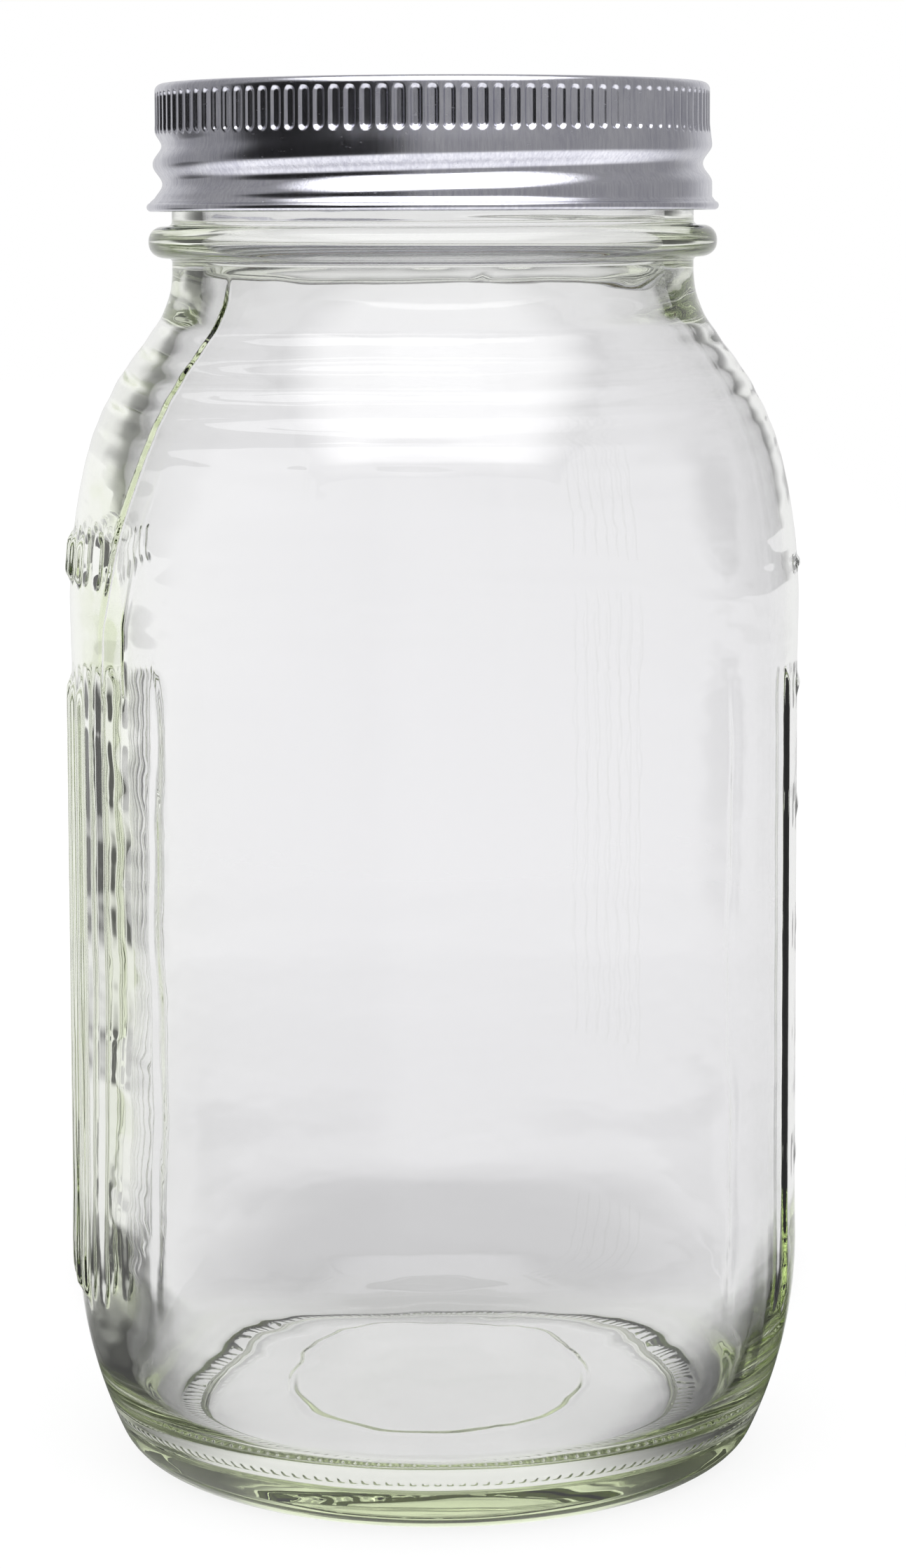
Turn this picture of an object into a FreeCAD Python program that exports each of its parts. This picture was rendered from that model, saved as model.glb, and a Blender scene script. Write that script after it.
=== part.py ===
import FreeCAD, Part
import math
import os

import Sketcher
from FreeCAD import Placement, Rotation, Vector

# A regular-mouth quart canning jar with its two-piece closure, in millimetres.
# +Z is up, the Z axis is the jar's axis, and z = 0 is the ring that the jar stands on.
# -Y is the front. The grip ribs are on the -X side and the volume scale is on the +X side.
# The closure is screwed down: the gasket lies on the rim and the band holds the disc on it.

DIMENSIONS = {
    # outside of the glass, from the base up
    "push_up_height": 3.6,
    "push_up_edge_radius": 32.2,
    "push_up_edge_height": 0.8,
    "base_ring_inner": 32.8,
    "base_ring_outer": 37.4,
    "base_corner_bend": 5.2,
    "heel_low_radius": 42.1,
    "heel_low_height": 3.0,
    "heel_bend": 57.0,
    "heel_top_radius": 47.5,
    "heel_top_height": 27.5,
    "body_radius": 47.4,
    "body_low_height": 34.0,
    "body_high_height": 104.0,
    "shoulder_low_radius": 47.55,
    "shoulder_low_height": 111.0,
    "shoulder_low_bend": 80.7,
    "shoulder_mid_radius": 45.4,
    "shoulder_mid_height": 129.5,
    "shoulder_mid_bend": 36.6,
    "shoulder_high_radius": 39.4,
    "shoulder_high_height": 142.6,
    "neck_flare_radius": 36.2,
    "neck_flare_height": 147.0,
    "neck_flare_bend": 12.6,
    "neck_radius": 33.8,
    "neck_low_height": 154.4,
    "bead_foot_height": 155.9,
    "bead_flank_radius": 35.2,
    "bead_low_height": 156.1,
    "bead_bend": 2.03,
    "bead_high_height": 160.1,
    "bead_head_height": 160.4,
    "rim_outer_corner": 0.8,
    "rim_outer_height": 176.2,
    "rim_outer_radius": 33.0,
    "rim_height": 177.0,
    # inside of the glass, from the rim down
    "rim_inner_radius": 31.0,
    "rim_inner_corner": 1.0,
    "rim_inner_height": 176.0,
    "mouth_radius": 30.0,
    "mouth_low_height": 156.35,
    "neck_bore_bend": 15.4,
    "neck_bore_radius": 32.95,
    "neck_bore_height": 147.3,
    "shoulder_bore_high_radius": 37.45,
    "shoulder_bore_high_height": 141.1,
    "shoulder_bore_mid_bend": 34.0,
    "shoulder_bore_mid_radius": 43.0,
    "shoulder_bore_mid_height": 128.95,
    "shoulder_bore_low_bend": 78.2,
    "body_bore_radius": 45.1,
    "body_bore_high_height": 111.0,
    "body_bore_low_height": 30.0,
    "heel_bore_bend": 58.0,
    "heel_bore_radius": 42.55,
    "heel_bore_height": 13.0,
    "floor_corner_bend": 11.2,
    "floor_edge_radius": 29.7,
    "floor_edge_height": 5.3,
    "floor_height": 8.2,
    # thread on the glass: a rounded ridge, one start, right-handed
    "thread_pitch": 5.08,
    "glass_thread_height": 165.6,
    "glass_thread_rise": 7.62,
    "glass_thread_root": 33.5,
    "glass_thread_root_half_width": 1.2,
    "glass_thread_crest": 34.85,
    "glass_thread_crest_half_width": 0.4,
    # grip ribs on the -X side, in a long row and a short row
    "rib_count": 7,
    "rib_first_angle": 162.0,
    "rib_span_angle": 36.0,
    "rib_inner": 46.2,
    "rib_depth": 1.75,
    "rib_half_width": 1.3,
    "long_rib_low": 23.3,
    "long_rib_high": 100.5,
    "short_rib_low": 116.0,
    "short_rib_high": 119.6,
    # volume scale on the +X side: one upright bar and a tick for each 100 ml
    "scale_bar_angle": -19.4,
    "scale_bar_half_width": 1.1,
    "scale_bar_low": 22.3,
    "scale_bar_high": 102.3,
    "scale_depth": 1.6,
    "tick_angle": -6.0,
    "tick_half_length": 2.6,
    "tick_half_height": 0.4,
    "tick_first_height": 38.3,
    "tick_count": 6,
    "tick_span": 78.3,
    # lid disc: stamped tinplate, with the channel that holds the gasket at its edge
    "lid_thickness": 0.3,
    "lid_lip_radius": 34.35,
    "lid_lip_bottom": 177.35,
    "lid_lip_top": 177.75,
    "lid_edge_radius": 34.1,
    "lid_top": 178.0,
    "lid_channel_inner": 30.6,
    "lid_panel_radius": 29.9,
    "lid_panel_top": 177.35,
    "lid_ring_foot_outer": 27.2,
    "lid_ring_top_outer": 26.8,
    "lid_ring_top": 177.6,
    "lid_ring_top_inner": 25.8,
    "lid_ring_foot_inner": 25.4,
    "lid_button_foot": 19.0,
    "lid_button_radius": 18.5,
    "lid_button_edge": 177.6,
    "lid_button_top": 178.25,
    # gasket: a ring of sealing compound in the lid's channel
    "gasket_inner": 30.9,
    "gasket_outer": 33.7,
    "gasket_bevel": 0.3,
    "gasket_bottom": 177.0,
    # screw band: rolled tinplate with a curled lower edge
    "band_top": 178.4,
    "band_hole_radius": 30.7,
    "band_flange_bottom": 178.05,
    "band_outer": 36.0,
    "band_inner": 35.6,
    "band_corner": 1.1,
    "band_inner_corner": 0.75,
    "band_foot_height": 162.1,
    "band_foot_radius": 35.95,
    "band_curl_radius": 36.15,
    "band_curl_bottom": 161.75,
    "band_curl_top": 163.5,
    "band_curl_bend": 0.88,
    # rolled thread of the band: a rib inside, and outside the groove that the rolling leaves
    "band_thread_angle": 116.0,
    "band_thread_height": 164.85,
    "band_thread_rise": 6.1,
    "band_rib_root": 35.7,
    "band_rib_root_half_width": 1.15,
    "band_rib_crest": 34.45,
    "band_rib_crest_half_width": 0.5,
    "band_groove_mouth": 36.3,
    "band_groove_mouth_half_width": 1.15,
    "band_groove_floor": 34.9,
    "band_groove_floor_half_width": 0.45,
    # knurl round the top of the band: upright flutes with round ends
    "flute_count": 112,
    "flute_half_width": 0.62,
    "flute_low": 172.9,
    "flute_high": 176.4,
    "flute_floor": 35.76,
    "flute_depth": 1.0,
}

SHEET = "Dimensions"
FULL_TURN = 360


def make_sheet(doc):
    """The driving dimensions, one named cell each."""
    sheet = doc.addObject("Spreadsheet::Sheet", SHEET)
    for row, (alias, number) in enumerate(DIMENSIONS.items(), start=1):
        sheet.set(f"A{row}", alias)
        sheet.set(f"B{row}", str(number))
        sheet.setAlias(f"B{row}", alias)
    doc.recompute()


# A coordinate is written as cell names joined by plus and minus signs, such as "rim_height - bevel".


def formula(term):
    """The expression for a coordinate."""
    return " ".join(word if word in "+-" else f"{SHEET}.{word}" for word in term.split())


def number(term):
    """The number that a coordinate comes to."""
    total, sign = 0.0, 1
    for word in term.split():
        if word in "+-":
            sign = 1 if word == "+" else -1
        else:
            total += sign * DIMENSIONS[word]
    return total


def point(corner):
    """Where a corner is in its sketch. None stands for the sketch's own axis."""
    x, y = (0.0 if term is None else number(term) for term in corner[:2])
    return Vector(x, y, 0)


def make_body(doc, name):
    body = doc.addObject("PartDesign::Body", name)
    body.Label = name
    body.Placement = Placement()
    return body


def origin_part(body, role):
    """One of a body's own origin planes or axes."""
    return next(part for part in body.Origin.OriginFeatures if part.Role == role)


def turned(angle_deg, distance=0.0):
    """The offset that swings an upright sketch round Z and moves it out along its normal."""
    swing = Rotation(Vector(0, 1, 0), angle_deg)
    return Placement(swing.multVec(Vector(0, 0, distance)), swing)


def new_sketch(body, name, role, offset=Placement()):
    sketch = body.newObject("Sketcher::SketchObject", name)
    sketch.AttachmentSupport = (origin_part(body, role), "")
    sketch.MapMode = "FlatFace"
    sketch.AttachmentOffset = offset
    return sketch


def constrain(sketch, term, kind, *where):
    """Adds a constraint whose size follows the sheet."""
    index = sketch.addConstraint(Sketcher.Constraint(kind, *where, number(term)))
    sketch.setExpression(f"Constraints[{index}]", formula(term))


def pin_down(sketch, edge, end, corner):
    """Holds one end of an edge at its corner's coordinates, or on the axis for None."""
    for kind, axis, term in zip(("DistanceX", "DistanceY"), (-2, -1), corner[:2]):
        if term is None:
            sketch.addConstraint(Sketcher.Constraint("PointOnObject", edge, end, axis))
        else:
            constrain(sketch, term, kind, -1, 1, edge, end)


def arc_between(start, end, radius, turn):
    """The short arc of a radius from start to end. turn is 1 to go anticlockwise, -1 clockwise."""
    chord = end - start
    rise = math.sqrt(radius**2 - (chord.Length / 2) ** 2)
    across = Vector(-chord.y, chord.x, 0).normalize()
    centre = (start + end) / 2 + across * rise * turn
    ends = (start, end) if turn > 0 else (end, start)
    angles = [math.atan2(p.y - centre.y, p.x - centre.x) for p in ends]
    return Part.ArcOfCircle(Part.Circle(centre, Vector(0, 0, 1), radius), *angles)


def dome_radius(start, end):
    """The radius of the arc from start to end whose centre is on the sketch's Y axis."""
    across, rise = max(abs(start.x), abs(end.x)), abs(end.y - start.y)
    return (across**2 + rise**2) / (2 * rise)


def draw_outline(sketch, corners):
    """A closed outline. A corner is (x, y), or (x, y, radius, turn) where an arc leads to the next.

    A radius of None is a dome: the arc meets the Y axis squarely.
    """
    places = [point(corner) for corner in corners]
    starts, ends = [], []
    for n, corner in enumerate(corners):
        here, there = places[n], places[(n + 1) % len(places)]
        clockwise = len(corner) > 2 and corner[3] < 0
        if len(corner) > 2:
            radius = number(corner[2]) if corner[2] else dome_radius(here, there)
            sketch.addGeometry(arc_between(here, there, radius, corner[3]))
        else:
            sketch.addGeometry(Part.LineSegment(here, there))
        starts.append(2 if clockwise else 1)
        ends.append(1 if clockwise else 2)
    for n, corner in enumerate(corners):
        before = (n - 1) % len(corners)
        sketch.addConstraint(Sketcher.Constraint("Coincident", before, ends[before], n, starts[n]))
        pin_down(sketch, n, starts[n], corner)
        if len(corner) > 2 and corner[2]:
            constrain(sketch, corner[2], "Radius", n)
        elif len(corner) > 2:
            sketch.addConstraint(Sketcher.Constraint("PointOnObject", n, 3, -2))


def draw_bar(sketch, low, high, half_width):
    """An upright bar with round ends, on the sketch's Y axis. low and high are its ends' centres."""
    reach, bottom, top = number(half_width), number(low), number(high)
    first = sketch.GeometryCount
    up = Vector(0, 0, 1)
    sketch.addGeometry(Part.LineSegment(Vector(-reach, top, 0), Vector(-reach, bottom, 0)))
    round_end = Part.Circle(Vector(0, bottom, 0), up, reach)
    sketch.addGeometry(Part.ArcOfCircle(round_end, math.pi, 2 * math.pi))
    sketch.addGeometry(Part.LineSegment(Vector(reach, bottom, 0), Vector(reach, top, 0)))
    round_end = Part.Circle(Vector(0, top, 0), up, reach)
    sketch.addGeometry(Part.ArcOfCircle(round_end, 0, math.pi))
    for n in range(4):
        joint = (first + n, 2, first + (n + 1) % 4, 1)
        sketch.addConstraint(Sketcher.Constraint("Tangent", *joint))
    pin_down(sketch, first + 1, 3, (None, low))
    pin_down(sketch, first + 3, 3, (None, high))
    constrain(sketch, half_width, "Radius", first + 1)


def revolve(body, name, corners):
    """A full turn about Z of an outline in the XZ plane."""
    sketch = new_sketch(body, name + "_outline", "XZ_Plane")
    draw_outline(sketch, corners)
    turn = body.newObject("PartDesign::Revolution", name)
    turn.Profile = sketch
    turn.ReferenceAxis = (sketch, ["V_Axis"])
    turn.Angle = FULL_TURN


def thread(doc, body, kind, name, rise, height, root, crest, angle=0.0):
    """A right-handed helix about Z. root and crest name the section's radii, and their half widths too."""
    corners = [
        (root, f"{height} - {root}_half_width"),
        (crest, f"{height} - {crest}_half_width"),
        (crest, f"{height} + {crest}_half_width"),
        (root, f"{height} + {root}_half_width"),
    ]
    sketch = new_sketch(body, name + "_section", "XZ_Plane", turned(angle))
    draw_outline(sketch, corners)
    helix = body.newObject(kind, name)
    helix.Profile = sketch
    helix.ReferenceAxis = (sketch, ["V_Axis"])
    helix.Mode = 0
    helix.setExpression("Pitch", formula("thread_pitch"))
    helix.setExpression("Height", formula(rise))
    helix.Angle = 0
    helix.LeftHanded = False
    doc.recompute()


def pad(doc, body, name, sketch, depth):
    """Raises a sketch along its normal."""
    feature = body.newObject("PartDesign::Pad", name)
    feature.Profile = sketch
    feature.setExpression("Length", formula(depth))
    doc.recompute()
    return feature


def glass_outline():
    outside = [
        (None, "push_up_height", None, -1),
        ("push_up_edge_radius", "push_up_edge_height"),
        ("base_ring_inner", None),
        ("base_ring_outer", None, "base_corner_bend", 1),
        ("heel_low_radius", "heel_low_height", "heel_bend", 1),
        ("heel_top_radius", "heel_top_height"),
        ("body_radius", "body_low_height"),
        ("body_radius", "body_high_height"),
        ("shoulder_low_radius", "shoulder_low_height", "shoulder_low_bend", 1),
        ("shoulder_mid_radius", "shoulder_mid_height", "shoulder_mid_bend", 1),
        ("shoulder_high_radius", "shoulder_high_height"),
        ("neck_flare_radius", "neck_flare_height", "neck_flare_bend", -1),
        ("neck_radius", "neck_low_height"),
        ("neck_radius", "bead_foot_height"),
        ("bead_flank_radius", "bead_low_height", "bead_bend", 1),
        ("bead_flank_radius", "bead_high_height"),
        ("neck_radius", "bead_head_height"),
        ("neck_radius", "rim_outer_height", "rim_outer_corner", 1),
    ]
    inside = [
        ("rim_outer_radius", "rim_height"),
        ("rim_inner_radius", "rim_height", "rim_inner_corner", 1),
        ("mouth_radius", "rim_inner_height"),
        ("mouth_radius", "mouth_low_height", "neck_bore_bend", 1),
        ("neck_bore_radius", "neck_bore_height"),
        ("shoulder_bore_high_radius", "shoulder_bore_high_height", "shoulder_bore_mid_bend", -1),
        ("shoulder_bore_mid_radius", "shoulder_bore_mid_height", "shoulder_bore_low_bend", -1),
        ("body_bore_radius", "body_bore_high_height"),
        ("body_bore_radius", "body_bore_low_height", "heel_bore_bend", -1),
        ("heel_bore_radius", "heel_bore_height", "floor_corner_bend", -1),
        ("floor_edge_radius", "floor_edge_height", None, 1),
        (None, "floor_height"),
    ]
    return outside + inside


def add_grip_ribs(doc, body):
    """Two rows of upright ribs: one pair of bars, repeated in steps round the jar."""
    place = turned(number("rib_first_angle"), number("rib_inner"))
    sketch = new_sketch(body, "rib_outline", "YZ_Plane", place)
    draw_bar(sketch, "long_rib_low", "long_rib_high", "rib_half_width")
    draw_bar(sketch, "short_rib_low", "short_rib_high", "rib_half_width")
    rib = pad(doc, body, "first_rib", sketch, "rib_depth")
    row = body.newObject("PartDesign::PolarPattern", "grip_ribs")
    row.Originals = [rib]
    row.Axis = (origin_part(body, "Z_Axis"), [""])
    row.setExpression("Angle", formula("rib_span_angle"))
    row.setExpression("Occurrences", formula("rib_count"))
    body.Tip = row
    doc.recompute()


def add_volume_scale(doc, body):
    """An upright bar, and beside it a tick for each 100 ml."""
    place = turned(number("scale_bar_angle"), number("rib_inner"))
    bar = new_sketch(body, "scale_bar_outline", "YZ_Plane", place)
    draw_bar(bar, "scale_bar_low", "scale_bar_high", "scale_bar_half_width")
    pad(doc, body, "scale_bar", bar, "scale_depth")

    place = turned(number("tick_angle"), number("rib_inner"))
    sketch = new_sketch(body, "tick_outline", "YZ_Plane", place)
    low = "tick_first_height - tick_half_height"
    high = "tick_first_height + tick_half_height"
    left, right = "- tick_half_length", "tick_half_length"
    draw_outline(sketch, [(left, low), (right, low), (right, high), (left, high)])
    tick = pad(doc, body, "first_tick", sketch, "scale_depth")
    row = body.newObject("PartDesign::LinearPattern", "scale_ticks")
    row.Originals = [tick]
    row.Direction = (sketch, ["V_Axis"])
    row.setExpression("Length", formula("tick_span"))
    row.setExpression("Occurrences", formula("tick_count"))
    body.Tip = row
    doc.recompute()


def make_jar(doc):
    body = make_body(doc, "jar_glass")
    revolve(body, "glass_wall", glass_outline())
    sizes = ("glass_thread_rise", "glass_thread_height", "glass_thread_root", "glass_thread_crest")
    thread(doc, body, "PartDesign::AdditiveHelix", "glass_thread", *sizes)
    add_grip_ribs(doc, body)
    add_volume_scale(doc, body)
    return body


def make_disc(doc):
    """The flat lid: a thin stamping whose underside follows its top."""
    steps = [
        ("lid_button_radius", "lid_button_edge"),
        ("lid_button_foot", "lid_panel_top"),
        ("lid_ring_foot_inner", "lid_panel_top"),
        ("lid_ring_top_inner", "lid_ring_top"),
        ("lid_ring_top_outer", "lid_ring_top"),
        ("lid_ring_foot_outer", "lid_panel_top"),
        ("lid_panel_radius", "lid_panel_top"),
        ("lid_channel_inner", "lid_top"),
    ]
    lip = [
        ("lid_edge_radius", "lid_top"),
        ("lid_lip_radius", "lid_lip_top"),
        ("lid_lip_radius", "lid_lip_bottom"),
        ("lid_lip_radius - lid_thickness", "lid_lip_bottom"),
        ("lid_lip_radius - lid_thickness", "lid_top - lid_thickness"),
    ]
    under = [(radius, f"{height} - lid_thickness") for radius, height in reversed(steps)]
    under[-1] += (None, 1)
    centre = [(None, "lid_button_top - lid_thickness"), (None, "lid_button_top", None, -1)]
    body = make_body(doc, "lid_disc")
    revolve(body, "stamping", centre + steps + lip + under)
    return body


def make_gasket(doc):
    top = "lid_top - lid_thickness"
    corners = [
        ("gasket_inner", top),
        ("gasket_inner", "gasket_bottom + gasket_bevel"),
        ("gasket_inner + gasket_bevel", "gasket_bottom"),
        ("gasket_outer - gasket_bevel", "gasket_bottom"),
        ("gasket_outer", "gasket_bottom + gasket_bevel"),
        ("gasket_outer", top),
    ]
    body = make_body(doc, "sealing_gasket")
    revolve(body, "ring", corners)
    return body


def band_outline():
    outside = [
        ("band_inner", "band_foot_height"),
        ("band_foot_radius", "band_curl_bottom"),
        ("band_curl_radius", "band_curl_bottom", "band_curl_bend", 1),
        ("band_curl_radius", "band_curl_top"),
        ("band_outer", "band_curl_top"),
        ("band_outer", "band_top - band_corner", "band_corner", 1),
        ("band_outer - band_corner", "band_top"),
    ]
    inside = [
        ("band_hole_radius", "band_top"),
        ("band_hole_radius", "band_flange_bottom"),
        ("band_inner - band_inner_corner", "band_flange_bottom", "band_inner_corner", -1),
        ("band_inner", "band_flange_bottom - band_inner_corner"),
    ]
    return outside + inside


def flute(angle):
    """The cutter for one upright flute with round ends, standing at an angle round the band."""
    floor, reach, depth = number("flute_floor"), number("flute_half_width"), number("flute_depth")
    low, high = number("flute_low"), number("flute_high")
    outwards = Vector(1, 0, 0)
    bar = Part.makeBox(depth, 2 * reach, high - low, Vector(floor, -reach, low))
    ends = [Part.makeCylinder(reach, depth, Vector(floor, 0, z), outwards) for z in (low, high)]
    cutter = bar.fuse(ends).removeSplitter()
    cutter.rotate(Vector(), Vector(0, 0, 1), angle)
    return cutter


def make_band(doc):
    """The rolled ring, with the knurl cut round its top."""
    body = make_body(doc, "rolled_ring")
    revolve(body, "band_wall", band_outline())
    sizes = ("band_thread_rise", "band_thread_height")
    angle = number("band_thread_angle")
    rib = ("band_rib_root", "band_rib_crest", angle)
    groove = ("band_groove_mouth", "band_groove_floor", angle)
    thread(doc, body, "PartDesign::AdditiveHelix", "thread_rib", *sizes, *rib)
    thread(doc, body, "PartDesign::SubtractiveHelix", "thread_groove", *sizes, *groove)

    flutes = doc.addObject("Part::Feature", "knurl_flutes")
    count = int(number("flute_count"))
    flutes.Shape = Part.makeCompound([flute(FULL_TURN * n / count) for n in range(count)])
    flutes.Placement = Placement()
    band = doc.addObject("Part::Cut", "screw_band")
    band.Label = "screw_band"
    band.Base = body
    band.Tool = flutes
    return band


def check(doc, nodes):
    """Stops if any feature failed or any piece isn't one sound solid."""
    failed = [o.Name for o in doc.Objects if {"Invalid", "Error"} & set(o.State)]
    if failed:
        raise RuntimeError(f"these features failed: {failed}")
    for node in nodes:
        shape = node.Shape
        if shape.isNull() or not shape.isValid() or len(shape.Solids) != 1:
            raise RuntimeError(f"{node.Label} isn't one sound solid")
        print(f"{node.Label}: {shape.Volume / 1000:.2f} ml, {len(shape.Faces)} faces")


def main():
    doc = FreeCAD.newDocument("mason_jar")
    make_sheet(doc)
    nodes = [make_jar(doc), make_disc(doc), make_gasket(doc), make_band(doc)]
    doc.recompute()
    check(doc, nodes)
    os.makedirs("parts", exist_ok=True)
    for node in nodes:
        node.Shape.exportStep(f"parts/{node.Label}.step")


main()
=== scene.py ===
import math

import bpy
import numpy as np
from mathutils import Matrix, Vector


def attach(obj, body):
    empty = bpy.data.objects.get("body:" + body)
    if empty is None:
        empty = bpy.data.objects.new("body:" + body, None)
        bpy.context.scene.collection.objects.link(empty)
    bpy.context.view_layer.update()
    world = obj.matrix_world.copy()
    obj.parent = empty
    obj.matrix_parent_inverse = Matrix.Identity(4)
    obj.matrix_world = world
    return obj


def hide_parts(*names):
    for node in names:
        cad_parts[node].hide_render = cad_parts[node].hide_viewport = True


# A canning jar of clear glass with its flat lid and screw band. Shapes are worked out in
# millimetres round the jar's axis and written to the meshes in metres.

MM = 0.001
TURN = 2 * math.pi
THREAD_PITCH = 5.08


def smooth(start, end, x):
    """0 before start, 1 after end, and a soft step between them."""
    t = np.clip((x - start) / (end - start), 0, 1)
    return t * t * (3 - 2 * t)


def bump(x):
    """A soft hump: 1 at 0, falling to 0 at 1 and -1."""
    return np.cos(np.clip(x, -1, 1) * math.pi / 2) ** 2


def bar_distance(across, along, half_length):
    """How far a point is from a straight bar's centre line."""
    return np.hypot(across, np.maximum(np.abs(along) - half_length, 0))


def wrapped(angles):
    """The same angles, from minus half a turn to half a turn."""
    return (angles + math.pi) % TURN - math.pi


# ---------------------------------------------------------------- outlines and rings


def run(start, end, step):
    """Points (radius, height) on a straight run, its start included and its end left out."""
    count = max(1, math.ceil(math.dist(start, end) / step))
    return [tuple(np.array(start) + (np.array(end) - start) * n / count) for n in range(count)]


def arc(start, end, radius, turn, step):
    """Points on the short arc from start to end. turn is 1 to go anticlockwise, -1 clockwise."""
    start, end = np.array(start, float), np.array(end, float)
    chord = end - start
    length = math.hypot(*chord)
    across = np.array([-chord[1], chord[0]]) / length
    centre = (start + end) / 2 + across * turn * math.sqrt(radius**2 - length**2 / 4)
    first = math.atan2(*(start - centre)[::-1])
    sweep = turn * 2 * math.asin(length / 2 / radius)
    count = max(2, math.ceil(abs(sweep) * radius / step), math.ceil(abs(sweep) / 0.13))
    angles = first + sweep * np.arange(count) / count
    return [(centre[0] + radius * math.cos(a), centre[1] + radius * math.sin(a)) for a in angles]


def outline(corners, step):
    """Points along corners (r, z), or (r, z, radius, turn) where an arc leads to the next."""
    points = []
    for here, there in zip(corners, corners[1:]):
        if len(here) > 2:
            points += arc(here[:2], there[:2], here[2], here[3], step)
        else:
            points += run(here[:2], there[:2], step)
    return points


def ring(angles, radius, height):
    """A ring of points round the axis. radius and height may change on the way round."""
    r, z = np.broadcast_to(radius, angles.shape), np.broadcast_to(height, angles.shape)
    return np.stack([r * np.cos(angles), r * np.sin(angles), z], axis=1)


def pole(height):
    """A ring shrunk to one point on the axis."""
    return np.array([[0.0, 0.0, height]])


def finer(angles, factor):
    """Each gap between the angles divided into factor equal parts."""
    closed = np.append(angles, angles[0] + TURN)
    places = np.arange(len(angles) * factor) / factor
    return np.interp(places, np.arange(len(closed)), closed)


def skin(name, rings, closed=False):
    """A smooth mesh over rings, where one of two neighbours has a multiple of the other's points."""
    starts = np.cumsum([0] + [len(r) for r in rings])
    pairs = list(zip(range(len(rings) - 1), range(1, len(rings))))
    if closed:
        pairs.append((len(rings) - 1, 0))
    faces = []
    for a, b in pairs:
        first, second = len(rings[a]), len(rings[b])
        count = max(first, second) if 1 in (first, second) else min(first, second)
        steps = [size // count for size in (first, second)]
        for n in range(count):
            low = [(n * steps[0] + k) % first + starts[a] for k in range(steps[0] + 1)]
            high = [(n * steps[1] + k) % second + starts[b] for k in range(steps[1] + 1)]
            faces.append(list(dict.fromkeys(low + high[::-1])))
    mesh = bpy.data.meshes.new(name)
    mesh.from_pydata(np.concatenate(rings) * MM, [], faces)
    mesh.polygons.foreach_set("use_smooth", [True] * len(faces))
    mesh.update()
    obj = bpy.data.objects.new(name, mesh)
    bpy.context.scene.collection.objects.link(obj)
    return obj


# ---------------------------------------------------------------- the glass jar

BODY_RADIUS = 47.4
NECK_RADIUS = 33.8
RIBS = [math.radians(162 + 6 * n) for n in range(7)]

# the middle's height and the half length of each rib, of the short one above it and of the bar
LONG_RIB = (61.9, 38.6)
SHORT_RIB = (117.8, 1.8)
SCALE_BAR = (62.3, 40.0)
SCALE_BAR_ANGLE = math.radians(-19.4)
TICK_ANGLE = math.radians(-6)
TICK_HEIGHTS = [38.3 + 15.66 * n for n in range(6)]
TICK_HALF_LENGTH = 2.6
STIPPLES = 144
MOULD_SEAMS = (math.radians(100), math.radians(280))

# upright creases on the inside wall, as (angle in degrees, half width, depth)
CREASES = [(221.0, 1.2, 0.09), (322.5, 1.1, 0.13), (38.0, 2.0, 0.04), (142.0, 2.0, 0.04)]


def jar_angles():
    """Close together over the ribs and the scale, wider elsewhere."""
    stops = [(-26, 0, 0.4), (0, 157, 1.31), (157, 225, 0.4), (225, 317, 1.31)]
    stops += [(317, 329, 0.4), (329, 334, 1.25)]
    parts = [np.linspace(a, b, round((b - a) / step), endpoint=False) for a, b, step in stops]
    degrees = np.concatenate(parts)
    return np.radians(degrees[: len(degrees) // 2 * 2])


def flow_line(z):
    """Where the thin fold lies that runs from the neck down over the left shoulder."""
    heights, places = [60, 110, 116, 137, 151], [208.0, 208.5, 211.3, 218.7, 221.7]
    return math.radians(np.interp(z, heights, places) + 0.25 * math.sin(z * 0.35))


def raised_marks(angles, z):
    """How far the ribs, the scale and the seams stand out, less the fold on the shoulder."""
    height = np.zeros_like(angles)
    for rib in RIBS:
        across = wrapped(angles - rib) * BODY_RADIUS
        for middle, half_length in (LONG_RIB, SHORT_RIB):
            distance = bar_distance(across, z - middle, half_length)
            height = np.maximum(height, 0.72 * bump(distance / 1.75))
    across = wrapped(angles - SCALE_BAR_ANGLE) * BODY_RADIUS
    middle, half_length = SCALE_BAR
    distance = bar_distance(across, z - middle, half_length)
    height = np.maximum(height, 0.5 * bump(distance / 1.4))
    across = wrapped(angles - TICK_ANGLE) * BODY_RADIUS
    for tick in TICK_HEIGHTS:
        distance = bar_distance(z - tick, across, TICK_HALF_LENGTH)
        height = np.maximum(height, 0.4 * bump(distance / 0.9))
    for seam in MOULD_SEAMS:
        across = wrapped(angles - seam) * BODY_RADIUS
        height = np.maximum(height, 0.05 * bump(across / 0.9) * smooth(6, 12, z))
    across = wrapped(angles - flow_line(z)) * BODY_RADIUS
    return height - 0.3 * bump(across / 0.7) * smooth(100, 112, z) * smooth(154, 150, z)


def outer_ripple(angles, z):
    """The slight unevenness of moulded glass, strongest on the shoulder."""
    level = 0.006 + 0.055 * bump((z - 141) / 14)
    bow = 2.2 * np.cos(angles - math.radians(265))
    sway = bow + 0.5 * np.sin(2 * angles + 0.4) + 0.3 * np.sin(5 * angles + 1.1)
    return level * (np.sin(z * 1.85 + sway) + 0.5 * np.sin(z * 0.9 - 1.2 * sway + 0.7))


def jar_thread(angles, z):
    """One start, right-handed, one and a half turns, running out softly at both ends."""
    height = np.zeros_like(angles)
    for lap in (0, 1):
        travel = angles + TURN * lap
        centre = 165.6 + THREAD_PITCH * travel / TURN
        ends = smooth(0.0, 0.35, travel) * smooth(1.5 * TURN, 1.5 * TURN - 0.35, travel)
        height = np.maximum(height, ends * bump((z - centre) / 1.35))
    return 1.05 * height


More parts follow.
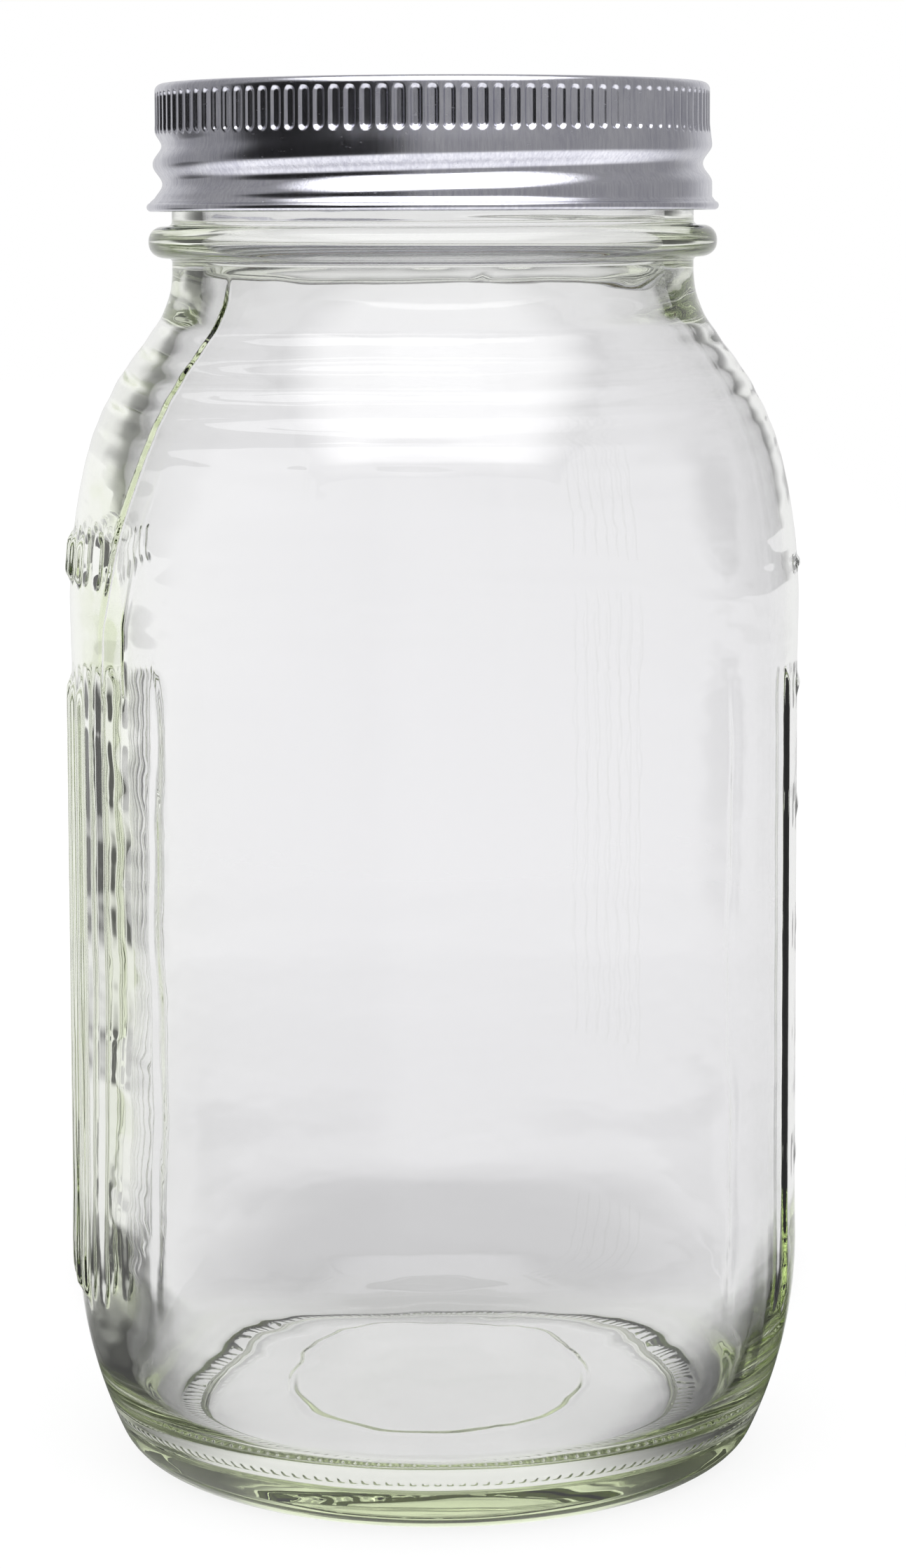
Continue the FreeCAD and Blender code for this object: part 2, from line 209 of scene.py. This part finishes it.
def wall_swell(angles, z):
    """How much thicker the wall is than its mean: the glass settled towards one side."""
    heights = [0, 12, 24, 60, 108, 118, 138, 148, 154, 180]
    swells = [0, 0.5, 1.6, 2.3, 2.0, 1.6, 1.2, 0.4, 0, 0]
    side = wrapped(angles - math.radians(192))
    heavy = np.interp(z, heights, swells) * np.exp(-((side / 0.62) ** 2))
    thin = 0.5 * smooth(10, 24, z) * smooth(152, 140, z) * np.exp(-((wrapped(angles) / 0.9) ** 2))
    return heavy - thin


def settle_marks(angles, z):
    """Upright creases and faint slack waves on the inside wall."""
    marks = np.zeros_like(angles)
    for place, width, depth in CREASES:
        sway = 0.010 * np.sin(z * 0.13 + place) + 0.004 * np.sin(z * 0.41)
        across = wrapped(angles - math.radians(place) - sway) * 45
        marks += depth * bump(across / width) * smooth(22, 34, z) * smooth(108, 96, z)
    sway = 1.3 * np.cos(angles + 1.5) + 0.5 * np.sin(3 * angles)
    waves = 0.035 * np.sin(z * 0.33 + sway) + 0.02 * np.sin(z * 0.71 - 2 * sway)
    return marks + waves * smooth(12, 30, z) * smooth(155, 140, z)


def dome_drop(r, edge, rise):
    """How far a round dome that spans the radius edge has dropped below its top at radius r."""
    sphere = (edge**2 + rise**2) / (2 * rise)
    return sphere - math.sqrt(sphere**2 - r**2)


def jar_outside(angles):
    rings = [pole(3.6)]
    radii = [*np.arange(2, 18, 2), *np.arange(18.4, 20.7, 0.2), *np.arange(22, 32, 1)]
    for r in radii:
        z = 3.6 - dome_drop(r, 32.2, 2.8)
        rings.append(ring(angles, r, z + 0.12 * bump((r - 19.5) / 0.9)))

    close = finer(angles, 4)
    dash = np.abs(wrapped(close * STIPPLES)) / STIPPLES
    for r, z in [*run((32.2, 0.8), (32.8, 0.05), 0.5), *run((32.8, 0.0), (37.4, 0.0), 0.42)]:
        distance = bar_distance(dash * r, r - 34.6, 0.75)
        rings.append(ring(close, r, z + 0.3 * bump(distance / 0.62)))

    heel = [(37.4, 0, 5.2, 1), (42.1, 3.0, 57.0, 1), (47.5, 27.5), (BODY_RADIUS, 34.0)]
    body = [(BODY_RADIUS, 34.0), (BODY_RADIUS, 104.0)]
    shoulder = [
        (BODY_RADIUS, 104.0),
        (47.55, 111.0, 80.7, 1),
        (45.4, 129.5, 36.6, 1),
        (39.4, 142.6),
        (36.2, 147.0, 12.6, -1),
        (NECK_RADIUS, 154.4),
    ]
    points = outline(heel, 1.2) + outline(body, 1.6) + outline(shoulder, 0.5)
    for r, z in points:
        extra = raised_marks(angles, z) + outer_ripple(angles, z) * smooth(3, 14, z)
        rings.append(ring(angles, r + extra, z))

    bead = [
        (NECK_RADIUS, 154.4),
        (NECK_RADIUS, 155.6, 0.6, -1),
        (34.4, 156.05),
        (35.2, 156.1, 2.03, 1),
        (35.2, 160.1),
        (34.4, 160.15, 0.6, -1),
        (NECK_RADIUS, 160.6),
        (NECK_RADIUS, 163.0),
    ]
    finish = [(NECK_RADIUS, 163.0), (NECK_RADIUS, 176.2, 0.8, 1), (33.0, 177.0)]
    for r, z in outline(bead, 0.4) + outline(finish, 0.36) + [(33.0, 177.0)]:
        unlevel = 0.05 * np.sin(angles * 2 + z * 1.7) * smooth(156, 158, z) * smooth(162, 160, z)
        rings.append(ring(angles, r + jar_thread(angles, z) + unlevel, z))
    return rings


def jar_inside(angles):
    corners = [
        (31.0, 177.0, 1.0, 1),
        (30.0, 176.0),
        (30.0, 156.35, 15.4, 1),
        (32.95, 147.3),
        (37.45, 141.1, 34.0, -1),
        (43.0, 128.95, 78.2, -1),
        (45.1, 111.0),
        (45.1, 30.0, 58.0, -1),
        (42.55, 13.0, 11.2, -1),
        (29.7, 5.3),
    ]
    rings = []
    for r, z in outline(corners, 1.5):
        inwards = wall_swell(angles, z) + settle_marks(angles, z)
        rings.append(ring(angles, r - inwards, z))
    for r in np.arange(29.7, 1, -2.0):
        z = 8.2 - dome_drop(r, 29.7, 2.9)
        slack = 0.07 * np.sin(2 * angles + 0.7 + r * 0.12) + 0.03 * np.sin(3 * angles - r * 0.3)
        rings.append(ring(angles, r, z + slack * smooth(2, 12, r)))
    return rings + [pole(8.2)]


def make_jar():
    angles = jar_angles()
    return skin("jar_glass_moulded", jar_outside(angles) + jar_inside(angles[::2]))


# ---------------------------------------------------------------- the screw band

FLUTES = 112
KNURL_RADIUS = 35.85
WALL_RADIUS = 36.17
GROOVE_DEPTH = 1.2
SHEET = 0.4


def band_wall(angles, z):
    """The outside radius of the band's wall, with the groove rolled into it along the thread."""
    groove = np.zeros_like(angles)
    for lap in (0, 1):
        travel = angles % TURN + TURN * lap
        centre = 162.96 + THREAD_PITCH * travel / TURN
        ends = smooth(math.radians(70), math.radians(135), travel)
        ends = ends * smooth(math.radians(615), math.radians(545), travel)
        groove = np.maximum(groove, ends * bump((z - centre) / 2.45))
    wall = WALL_RADIUS - GROOVE_DEPTH * groove
    knurl = smooth(170.0, 173.4, z)
    foot = smooth(163.75, 163.15, z)
    wall = wall * (1 - foot) + 36.6 * foot
    return wall * (1 - knurl) + KNURL_RADIUS * knurl


def flute_depth(angles, z):
    """How far the knurl's upright flutes are pressed in."""
    across = wrapped(angles * FLUTES) / FLUTES * KNURL_RADIUS
    distance = bar_distance(across, z - 174.6, 1.95)
    return 0.36 * smooth(0.78, 0.36, distance)


def make_band():
    coarse = np.arange(FLUTES * 4) * TURN / (FLUTES * 4)
    close = finer(coarse, 4)
    rings = []
    foot = [(36.15, 163.3), (35.75, 162.9), (35.7, 162.4), (35.95, 162.08), (36.48, 162.05)]
    for r, z in outline(foot, 0.4) + arc((36.48, 162.05), (36.55, 163.15), 0.553, 1, 0.12):
        rings.append(ring(coarse, r, z))
    for z in np.arange(163.2, 171.3, 0.27):
        rings.append(ring(coarse, band_wall(coarse, z), z))
    for z in np.arange(171.45, 177.4, 0.2):
        rings.append(ring(close, band_wall(close, z) - flute_depth(close, z), z))
    top = [(35.85, 177.45, 0.95, 1), (34.9, 178.4), (31.0, 178.4), (30.75, 178.36), (30.7, 178.22)]
    top += [(30.75, 178.09), (31.0, 178.05), (34.6, 178.05, 0.7, -1), (35.3, 177.35)]
    for r, z in outline(top, 0.7):
        rings.append(ring(coarse, r, z))
    for z in np.arange(177.2, 163.3, -0.4):
        high = smooth(170.6, 172.0, z)
        inside = (band_wall(coarse, z) - SHEET) * (1 - high) + (KNURL_RADIUS - 0.62) * high
        rings.append(ring(coarse, inside, z))
    return skin("screw_band_rolled", rings, closed=True)


# ---------------------------------------------------------------- the flat lid and its gasket

DISC_TOP = 178.2
DISC_SHEET = 0.28
LATHE_STEPS = 256


def make_disc():
    """A thin stamping: a button, a ring and a channel at its edge, with soft bends between them."""
    heights = [(0, DISC_TOP), (8, 178.15), (18.2, 177.66), (19.0, 177.4), (19.6, 177.35)]
    heights += [(25.2, 177.35), (25.9, 177.58), (26.7, 177.58), (27.4, 177.35), (29.7, 177.35)]
    heights += [(30.1, 177.5), (30.5, 177.92), (30.9, 178.0), (33.9, 178.0)]
    radii, levels = zip(*heights)
    steps = np.concatenate([np.arange(0.4, 18, 1.2), np.arange(18, 33.9, 0.2)])
    top = np.convolve(np.pad(np.interp(steps, radii, levels), 2, "edge"), np.ones(5) / 5, "valid")
    edge = [(34.0, 177.7), (34.06, 177.42), (34.2, 177.36), (34.34, 177.4), (34.34, 177.75)]
    edge += [(34.2, 177.93)]
    section = list(zip(steps, top))
    under = [(r, z - DISC_SHEET) for r, z in section]
    angles = np.arange(LATHE_STEPS) * TURN / LATHE_STEPS
    rings = [ring(angles, r, z) for r, z in under + edge + section[::-1]]
    rings = [pole(DISC_TOP - DISC_SHEET), *rings, pole(DISC_TOP)]
    return skin("lid_disc_stamped", rings)


def make_gasket():
    """The ring of sealing compound, flowed in with a soft outline."""
    section = [(30.95, 177.68), (30.92, 177.35)]
    section += arc((31.0, 177.2), (33.5, 177.2), 8.0, 1, 0.25)
    section += [(33.5, 177.2), (33.66, 177.35), (33.68, 177.68)]
    angles = np.arange(LATHE_STEPS) * TURN / LATHE_STEPS
    return skin("sealing_gasket_flowed", [ring(angles, r, z) for r, z in section], closed=True)


# ---------------------------------------------------------------- materials


class Nodes:
    """A short way to build a material's nodes."""

    def __init__(self, name):
        self.material = bpy.data.materials.new(name)
        self.material.use_nodes = True
        self.tree = self.material.node_tree
        self.shader = self.tree.nodes["Principled BSDF"]
        self.output = self.tree.nodes["Material Output"]
        self.place = self.tree.nodes.new("ShaderNodeTexCoord").outputs["Object"]

    def add(self, kind, values=None, **settings):
        node = self.tree.nodes.new(kind)
        for key, value in settings.items():
            setattr(node, key, value)
        for socket, value in (values or {}).items():
            if isinstance(value, bpy.types.NodeSocket):
                self.tree.links.new(value, node.inputs[socket])
            else:
                node.inputs[socket].default_value = value
        return node

    def link(self, source, socket):
        self.tree.links.new(source, self.shader.inputs[socket])

    def stretched(self, scale):
        mapping = self.add("ShaderNodeMapping", {"Vector": self.place, "Scale": scale})
        return mapping.outputs["Vector"]

    def noise(self, scale, detail=4.0, roughness=0.6, vector=None):
        values = {"Scale": scale, "Detail": detail, "Roughness": roughness}
        values["Vector"] = vector or self.place
        return self.add("ShaderNodeTexNoise", values).outputs["Fac"]

    def spread(self, source, low, high, to_low=0.0, to_high=1.0):
        """The source's span from low to high, mapped to the span from to_low to to_high."""
        values = {"Value": source, "From Min": low, "From Max": high}
        values.update({"To Min": to_low, "To Max": to_high})
        return self.add("ShaderNodeMapRange", values).outputs["Result"]

    def soft_step(self, source, low, high):
        """0 at low, 1 at high, and a soft step between them."""
        values = {"Value": source, "From Min": low, "From Max": high}
        node = self.add("ShaderNodeMapRange", values, interpolation_type="SMOOTHSTEP")
        return node.outputs["Result"]

    def blend(self, factor, first, second):
        node = self.add("ShaderNodeMix", {0: factor, 6: first, 7: second}, data_type="RGBA")
        return node.outputs[2]

    def math(self, operation, first, second):
        return self.add("ShaderNodeMath", {0: first, 1: second}, operation=operation).outputs[0]

    def relief(self, source, strength, distance):
        values = {"Height": source, "Strength": strength, "Distance": distance}
        return self.add("ShaderNodeBump", values).outputs["Normal"]


def glass_material():
    n = Nodes("clear_glass")
    shader = n.shader.inputs
    shader["Transmission Weight"].default_value = 1.0
    shader["IOR"].default_value = 1.52
    tint = n.blend(n.noise(24, 3), (0.902, 0.897, 0.918, 1), (0.918, 0.913, 0.935, 1))
    n.link(tint, "Base Color")
    n.link(n.spread(n.noise(60, 6, 0.7), 0.45, 0.8, 0.0, 0.035), "Roughness")
    waves = n.noise(1.0, 2, 0.5, n.stretched((45, 45, 110)))
    n.link(n.relief(waves, 0.25, 0.0006), "Normal")
    body = n.add("ShaderNodeVolumeAbsorption", {"Color": (0.80, 0.86, 0.62, 1), "Density": 24.0})
    n.tree.links.new(body.outputs["Volume"], n.output.inputs["Volume"])
    return n.material


def tinplate_material(name, light, dark, gloss):
    """Rolled tinplate: a fine upright grain, cloudy patches and a few small scratches."""
    n = Nodes(name)
    n.shader.inputs["Metallic"].default_value = 1.0
    grain = n.noise(1.0, 4, 0.65, n.stretched((2600, 2600, 260)))
    clouds = n.noise(110, 5, 0.6)
    scratches = n.noise(1.0, 2, 0.5, n.stretched((900, 300, 2600)))
    worn = n.spread(scratches, 0.70, 0.76)
    tone = n.math("ADD", n.math("MULTIPLY", grain, 0.55), n.math("MULTIPLY", clouds, 0.45))
    colour = n.blend(n.spread(tone, 0.38, 0.62), dark, light)
    n.link(colour, "Base Color")
    rough = n.spread(tone, 0.35, 0.65, gloss + 0.05, gloss - 0.04)
    n.link(n.math("ADD", rough, n.math("MULTIPLY", worn, 0.12)), "Roughness")
    height = n.math("SUBTRACT", grain, n.math("MULTIPLY", worn, 0.6))
    n.link(n.relief(height, 0.22, 0.00004), "Normal")
    return n.material


def compound_material():
    """Sealing compound: matt, slightly pebbled."""
    n = Nodes("gasket_compound")
    colour = n.blend(n.noise(420, 5), (0.30, 0.085, 0.05, 1), (0.42, 0.14, 0.085, 1))
    n.link(colour, "Base Color")
    n.link(n.spread(n.noise(900, 4), 0.3, 0.7, 0.5, 0.72), "Roughness")
    n.link(n.relief(n.noise(1400, 3), 0.35, 0.0001), "Normal")
    return n.material


# ---------------------------------------------------------------- studio

ROOM_RADIUS = 3000
JAR_MIDDLE = Vector((0, 0, 0.09))
FLOOR_TONE = 0.29
FLOOR_GLOW = 0.47


def stage_object(name, mesh, *rays):
    """A stage piece that only these kinds of rays see. With none named, all of them do."""
    obj = bpy.data.objects.new(name, mesh)
    bpy.context.scene.collection.objects.link(obj)
    for kind in ("camera", "diffuse", "glossy", "transmission", "shadow"):
        setattr(obj, "visible_" + kind, not rays or kind in rays)
    return obj


def heading(azimuth, elevation):
    """A unit vector. Azimuth 0 is the front and grows to the viewer's right."""
    side, up = math.radians(azimuth), math.radians(elevation)
    return Vector((math.cos(up) * math.sin(side), -math.cos(up) * math.cos(side), math.sin(up)))


def room(name, level, patches, *rays):
    """A glowing shell round the scene, which only these kinds of rays see.

    A patch is (azimuth, elevation, full angle, outer angle, level).
    """
    n = Nodes(name)
    direction = n.add("ShaderNodeVectorMath", {0: n.place}, operation="NORMALIZE").outputs[0]
    glow = level
    for azimuth, elevation, full, outer, patch in patches:
        values = {0: direction, 1: heading(azimuth, elevation)}
        facing = n.add("ShaderNodeVectorMath", values, operation="DOT_PRODUCT").outputs["Value"]
        near, far = math.cos(math.radians(full)), math.cos(math.radians(outer))
        inside = n.soft_step(facing, far, near)
        glow = n.add("ShaderNodeMix", {0: inside, 2: glow, 3: patch}).outputs[0]
    lamp = n.add("ShaderNodeEmission", {"Strength": glow})
    n.tree.links.new(lamp.outputs[0], n.output.inputs["Surface"])

    angles = np.arange(48) * TURN / 48
    rings = [pole(-ROOM_RADIUS)]
    for up in np.radians(np.arange(-80, 81, 10)):
        rings.append(ring(angles, ROOM_RADIUS * math.cos(up), ROOM_RADIUS * math.sin(up)))
    shell = skin(name, [*rings, pole(ROOM_RADIUS)])
    shell.data.materials.append(n.material)
    mesh = shell.data
    bpy.data.objects.remove(shell)
    stage_object(name, mesh, *rays)


def floor_material():
    """A pale floor that glows, and near the jar also takes soft shadows from the key light."""
    n = Nodes("pale_floor")
    distance = n.add("ShaderNodeVectorMath", {0: n.place}, operation="LENGTH").outputs["Value"]
    lit = n.add("ShaderNodeBsdfDiffuse", {"Color": (*[FLOOR_TONE] * 3, 1)})
    base = n.add("ShaderNodeEmission", {"Strength": FLOOR_GLOW})
    near = n.add("ShaderNodeAddShader", {0: lit.outputs[0], 1: base.outputs[0]})
    # past the near floor the glow is painted light, brighter towards -x: 1.16 at -0.25 m falling to
    # 1.0 at +0.25 m
    across = n.add("ShaderNodeSeparateXYZ", {0: n.place}).outputs[0]
    glow = n.add("ShaderNodeEmission", {"Strength": n.spread(across, -0.25, 0.25, 1.16, 1.0)})
    shape = {0: n.soft_step(distance, 0.13, 0.42), 1: near.outputs[0], 2: glow.outputs[0]}
    mixed = n.add("ShaderNodeMixShader", shape)
    n.tree.links.new(mixed.outputs[0], n.output.inputs["Surface"])
    return n.material


def flat(name, width, height):
    """A mesh for a flat card that faces +Z."""
    mesh = bpy.data.meshes.new(name)
    x, y = width / 2, height / 2
    mesh.from_pydata([(-x, -y, 0), (x, -y, 0), (x, y, 0), (-x, y, 0)], [], [(0, 1, 2, 3)])
    return mesh


def shade_patch(name, start, end, half_width, level):
    """A painted shade: a dark oval on the floor from start to end, soft at its edge, which only the
    glass sees.
    """
    n = Nodes(name)
    distance = n.add("ShaderNodeVectorMath", {0: n.place}, operation="LENGTH").outputs["Value"]
    lamp = n.add("ShaderNodeEmission", {"Strength": level})
    clear = n.add("ShaderNodeBsdfTransparent")
    shape = {0: n.soft_step(distance, 1.45, 0.75), 1: clear.outputs[0], 2: lamp.outputs[0]}
    mixed = n.add("ShaderNodeMixShader", shape)
    n.tree.links.new(mixed.outputs[0], n.output.inputs["Surface"])
    mesh = flat(name, 3, 3)
    mesh.materials.append(n.material)
    patch = stage_object(name, mesh, "transmission", "glossy")
    across, along = end[0] - start[0], end[1] - start[1]
    patch.location = ((start[0] + end[0]) / 2, (start[1] + end[1]) / 2, -0.0001)
    patch.rotation_euler.z = math.atan2(along, across)
    patch.scale = (math.hypot(across, along) / 2, half_width, 1)


def above_front(elevation, distance):
    """The placement of a lamp or card above the front that faces the middle of the jar."""
    away = heading(0, elevation)
    turn = away.to_track_quat("Z", "Y").to_matrix().to_4x4()
    return Matrix.Translation(JAR_MIDDLE + away * distance) @ turn


def softbox(name, elevation, distance, width, height, watts):
    """An area light above the front."""
    light = bpy.data.lights.new(name, "AREA")
    light.shape, light.size, light.size_y, light.energy = "RECTANGLE", width, height, watts
    lamp = bpy.data.objects.new(name, light)
    lamp.matrix_world = above_front(elevation, distance)
    bpy.context.scene.collection.objects.link(lamp)
    return lamp


def soft_card(name, elevation, distance, width, height, level):
    """A glowing card above the front, brightest in the middle, which gives the highlights."""
    n = Nodes(name)
    axes = n.add("ShaderNodeSeparateXYZ", {0: n.place}).outputs
    glow = level
    for axis, reach, full in ((axes[0], width / 2, 0.45), (axes[1], height / 2, 0.8)):
        edge = n.soft_step(n.math("ABSOLUTE", axis, 0.0), reach, reach * full)
        glow = n.math("MULTIPLY", edge, glow)
    lamp = n.add("ShaderNodeEmission", {"Strength": glow})
    n.tree.links.new(lamp.outputs[0], n.output.inputs["Surface"])
    mesh = flat(name, width, height)
    mesh.materials.append(n.material)
    card = stage_object(name, mesh, "glossy", "transmission")
    card.matrix_world = above_front(elevation, distance)


def build_studio():
    world = bpy.data.worlds.new("pale_room")
    world.use_nodes = True
    world.node_tree.nodes["Background"].inputs["Color"].default_value = (1, 1, 1, 1)
    world.node_tree.nodes["Background"].inputs["Strength"].default_value = 1.0
    bpy.context.scene.world = world
    bpy.context.scene.view_settings.view_transform = "Standard"
    cycles = bpy.context.scene.cycles
    cycles.max_bounces = cycles.transmission_bounces = cycles.glossy_bounces = 32

    mesh = flat("floor", 6, 6)
    mesh.materials.append(floor_material())
    floor = stage_object("floor", mesh, "camera", "diffuse", "transmission", "shadow")
    floor.location.z = -0.0002

    # painted shade on the floor by the jar's foot and off to the left, seen only through and in the
    # glass
    shade_patch("shade_left", (-0.045, -0.036), (-0.110, 0.086), 0.025, 0.07)
    shade_patch("shade_right", (0.035, -0.043), (0.102, 0.064), 0.024, 0.03)
    shade_patch("shade_far_left", (-0.33, 0.20), (-0.85, 0.53), 0.13, 0.1)
    dark_front = (-50, 5, 30, 47, 0.012)
    pale_back = (180, 0, 18, 60, 0.8)
    pale_below = (0, -90, 50, 76, 1.3)
    room("walls_in_metal", 0.36, [dark_front, pale_back, pale_below], "glossy")
    grey_ceiling = (0, 90, 50, 76, 0.5)
    dark_sides = [(125, 24, 24, 36, 0.08), (-125, 24, 24, 36, 0.08)]
    room("walls_through_glass", 1.0, [grey_ceiling, *dark_sides], "transmission")
    key = softbox("key", 67, 0.95, 0.14, 0.12, 12)
    key.visible_glossy = key.visible_transmission = False
    soft_card("softbox", 66, 0.85, 1.6, 1.2, 3.0)


def add_camera():
    """A long lens in front of the jar, a little above its middle and tilted down."""
    lens = bpy.data.cameras.new("camera")
    lens.lens, lens.sensor_width = 85.0, 36.0
    lens.shift_x, lens.shift_y = 0.0121, -0.1494
    lens.clip_start = 0.01
    camera = bpy.data.objects.new("camera", lens)
    tilt = Matrix.Rotation(math.radians(90 - 5.3), 4, "X")
    roll = Matrix.Rotation(math.radians(-0.226), 4, "Z")
    camera.matrix_world = Matrix.Translation((0, -0.4828, 0.1626)) @ (tilt @ roll)
    bpy.context.scene.collection.objects.link(camera)
    bpy.context.scene.camera = camera


# ---------------------------------------------------------------- the scene


def place(obj, body, node, slot, material):
    obj.data.materials.append(material)
    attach(obj, body)
    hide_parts(node)


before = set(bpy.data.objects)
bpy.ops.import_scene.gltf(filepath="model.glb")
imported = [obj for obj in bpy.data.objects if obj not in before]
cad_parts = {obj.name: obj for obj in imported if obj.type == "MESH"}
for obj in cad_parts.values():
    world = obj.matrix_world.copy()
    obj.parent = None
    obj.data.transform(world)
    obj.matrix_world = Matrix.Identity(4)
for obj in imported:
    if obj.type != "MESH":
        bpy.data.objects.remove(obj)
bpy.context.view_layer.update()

lid_metal = tinplate_material("lid_tinplate", (0.80, 0.80, 0.81, 1), (0.70, 0.70, 0.72, 1), 0.26)
band_metal = tinplate_material("band_tinplate", (0.74, 0.74, 0.80, 1), (0.56, 0.56, 0.64, 1), 0.22)
jar = make_jar()
jar.visible_shadow = False
place(jar, "jar", "jar_glass", "clear_glass", glass_material())
place(make_disc(), "lid", "lid_disc", "lid_tinplate", lid_metal)
place(make_gasket(), "lid", "sealing_gasket", "gasket_compound", compound_material())
place(make_band(), "band", "screw_band", "band_tinplate", band_metal)

build_studio()
add_camera()
